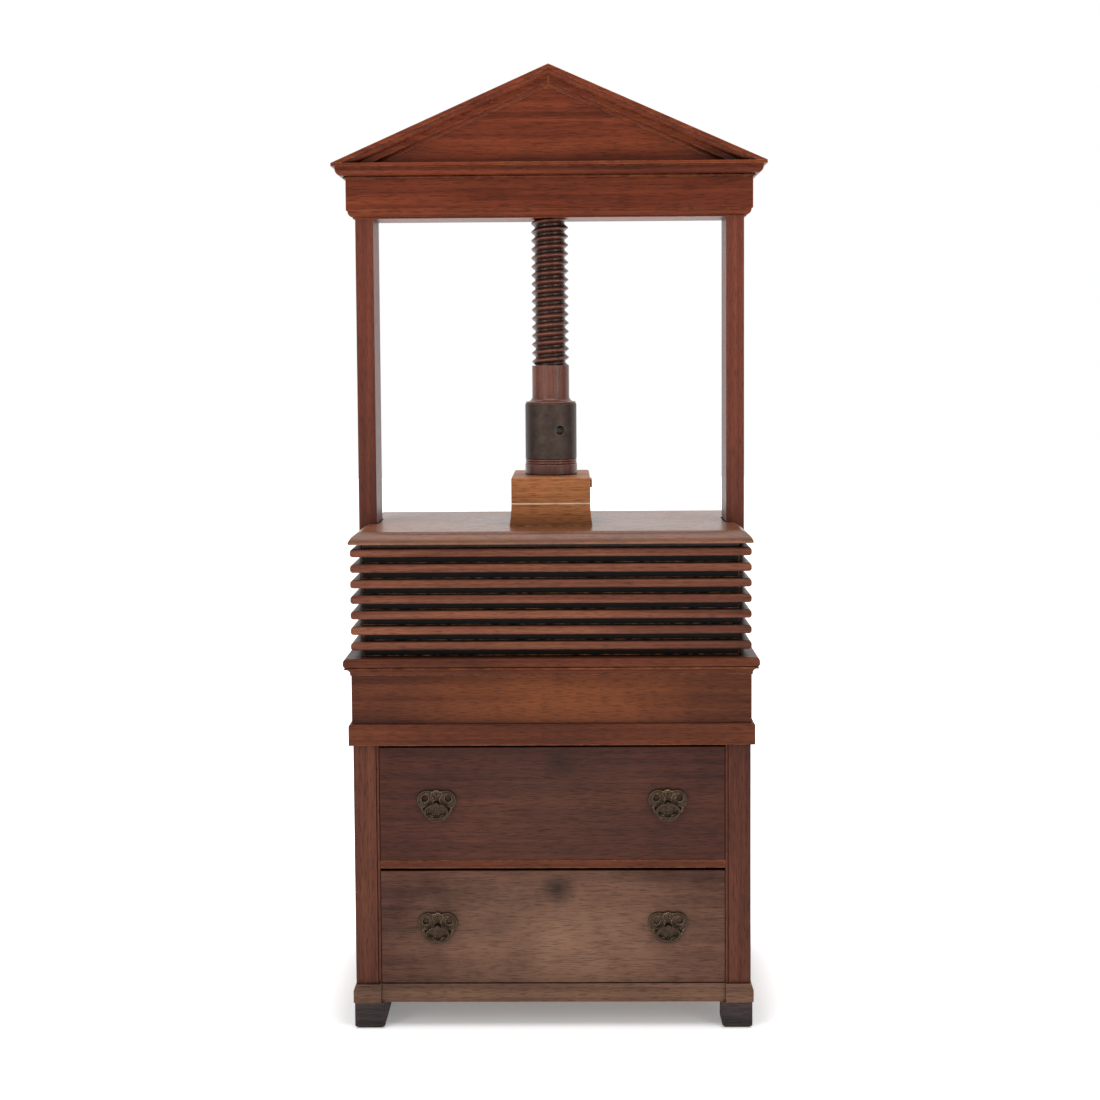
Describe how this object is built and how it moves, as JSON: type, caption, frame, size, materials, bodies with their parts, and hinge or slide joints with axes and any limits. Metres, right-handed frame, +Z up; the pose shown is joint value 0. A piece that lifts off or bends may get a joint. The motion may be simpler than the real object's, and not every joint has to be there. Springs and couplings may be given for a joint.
{
  "type": "linen press",
  "caption": "Tall wooden screw linen press: a pedimented frame with a threaded screw over loose press boards, standing on a chest of two drawers with ring pulls.",
  "frame": {"origin": "on the floor, under the middle of the object's bounding box", "axes": "+Z up, the drawers open towards -Y, +X to the right as seen from the front"},
  "size_m": [0.838, 0.4625, 1.826],
  "materials": {
    "mahogany": "waxed, worn",
    "saddle_wood": "waxed",
    "carcase_wood": "unfinished",
    "sleeve_metal": "dark patina",
    "aged_brass": "dark, worn bright at the rim"
  },
  "bodies": {
    "cabinet": {"feet": "mahogany", "plinth_blocks": "mahogany", "base_rails": "mahogany", "case_bottom": "carcase_wood", "stile_left": "mahogany", "stile_right": "mahogany", "case_side_left": "mahogany", "case_side_right": "mahogany", "case_back": "carcase_wood", "drawer_rail": "mahogany", "drawer_runners": "carcase_wood", "stile_beads": "mahogany", "case_top": "carcase_wood", "belt_moulding": "mahogany", "waist_front": "mahogany", "waist_sides": "mahogany", "waist_back": "carcase_wood", "bed_cove_moulding": "mahogany", "bed_board": "mahogany", "post_left": "mahogany", "post_right": "mahogany", "post_pegs": "mahogany", "nut_beam": "mahogany", "frieze_front": "mahogany", "frieze_returns": "mahogany", "cornice": "mahogany", "raking_cornice_left": "mahogany", "raking_cornice_right": "mahogany", "tympanum": "mahogany", "glue_blocks": "carcase_wood"},
    "press_head": {"top_board": "mahogany", "saddle_lower": "saddle_wood", "saddle_upper": "saddle_wood", "garter_key": "saddle_wood"},
    "screw": {"press_screw": "mahogany", "screw_sleeve": "sleeve_metal", "sleeve_pin": "sleeve_metal"},
    "press_board_1": {"press_board_1": "mahogany"},
    "press_board_2": {"press_board_2": "mahogany"},
    "press_board_3": {"press_board_3": "mahogany"},
    "press_board_4": {"press_board_4": "mahogany"},
    "press_board_5": {"press_board_5": "mahogany"},
    "press_board_6": {"press_board_6": "mahogany"},
    "press_board_7": {"press_board_7": "mahogany"},
    "drawer_upper": {"drawer_upper_front": "mahogany", "drawer_upper_sides": "carcase_wood", "drawer_upper_back": "carcase_wood", "drawer_upper_bottom": "carcase_wood", "pull_plates_upper": "aged_brass", "pull_eyebolts_upper": "aged_brass"},
    "drawer_lower": {"drawer_lower_front": "mahogany", "drawer_lower_sides": "carcase_wood", "drawer_lower_back": "carcase_wood", "drawer_lower_bottom": "carcase_wood", "pull_plates_lower": "aged_brass", "pull_eyebolts_lower": "aged_brass"},
    "ring_upper_left": {"pull_ring_upper_left": "aged_brass"},
    "ring_upper_right": {"pull_ring_upper_right": "aged_brass"},
    "ring_lower_left": {"pull_ring_lower_left": "aged_brass"},
    "ring_lower_right": {"pull_ring_lower_right": "aged_brass"}
  },
  "joints": [
    {"name": "press_lift", "type": "slide", "parent": "cabinet", "child": "press_head", "axis": [0, 0, 1], "range_m": [0, 0.15]},
    {"name": "screw_turn", "type": "hinge", "parent": "press_head", "child": "screw", "pos_m": [0, 0, 1.05], "axis": [0, 0, 1], "range_deg": [0, 3177]},
    {"name": "board_1_lift", "type": "slide", "parent": "cabinet", "child": "press_board_1", "axis": [0, 0, 1], "range_m": [0, 0.13125]},
    {"name": "board_2_lift", "type": "slide", "parent": "cabinet", "child": "press_board_2", "axis": [0, 0, 1], "range_m": [0, 0.1125]},
    {"name": "board_3_lift", "type": "slide", "parent": "cabinet", "child": "press_board_3", "axis": [0, 0, 1], "range_m": [0, 0.09375]},
    {"name": "board_4_lift", "type": "slide", "parent": "cabinet", "child": "press_board_4", "axis": [0, 0, 1], "range_m": [0, 0.075]},
    {"name": "board_5_lift", "type": "slide", "parent": "cabinet", "child": "press_board_5", "axis": [0, 0, 1], "range_m": [0, 0.05625]},
    {"name": "board_6_lift", "type": "slide", "parent": "cabinet", "child": "press_board_6", "axis": [0, 0, 1], "range_m": [0, 0.0375]},
    {"name": "board_7_lift", "type": "slide", "parent": "cabinet", "child": "press_board_7", "axis": [0, 0, 1], "range_m": [0, 0.01875]},
    {"name": "drawer_upper_slide", "type": "slide", "parent": "cabinet", "child": "drawer_upper", "axis": [0, -1, 0], "range_m": [0, 0.3]},
    {"name": "ring_upper_left_swing", "type": "hinge", "parent": "drawer_upper", "child": "ring_upper_left", "pos_m": [-0.217, -0.227, 0.4305], "axis": [-1, 0, 0], "range_deg": [0, 100]},
    {"name": "ring_upper_right_swing", "type": "hinge", "parent": "drawer_upper", "child": "ring_upper_right", "pos_m": [0.217, -0.227, 0.4305], "axis": [-1, 0, 0], "range_deg": [0, 100]},
    {"name": "drawer_lower_slide", "type": "slide", "parent": "cabinet", "child": "drawer_lower", "axis": [0, -1, 0], "range_m": [0, 0.3]},
    {"name": "ring_lower_left_swing", "type": "hinge", "parent": "drawer_lower", "child": "ring_lower_left", "pos_m": [-0.217, -0.227, 0.1965], "axis": [-1, 0, 0], "range_deg": [0, 100]},
    {"name": "ring_lower_right_swing", "type": "hinge", "parent": "drawer_lower", "child": "ring_lower_right", "pos_m": [0.217, -0.227, 0.1965], "axis": [-1, 0, 0], "range_deg": [0, 100]}
  ],
  "couplings": [
    {"joint": "screw_turn", "follows": "press_lift", "rad_per_m": 369.6},
    {"joint": "board_1_lift", "follows": "press_lift", "ratio": 0.875},
    {"joint": "board_2_lift", "follows": "press_lift", "ratio": 0.75},
    {"joint": "board_3_lift", "follows": "press_lift", "ratio": 0.625},
    {"joint": "board_4_lift", "follows": "press_lift", "ratio": 0.5},
    {"joint": "board_5_lift", "follows": "press_lift", "ratio": 0.375},
    {"joint": "board_6_lift", "follows": "press_lift", "ratio": 0.25},
    {"joint": "board_7_lift", "follows": "press_lift", "ratio": 0.125}
  ]
}
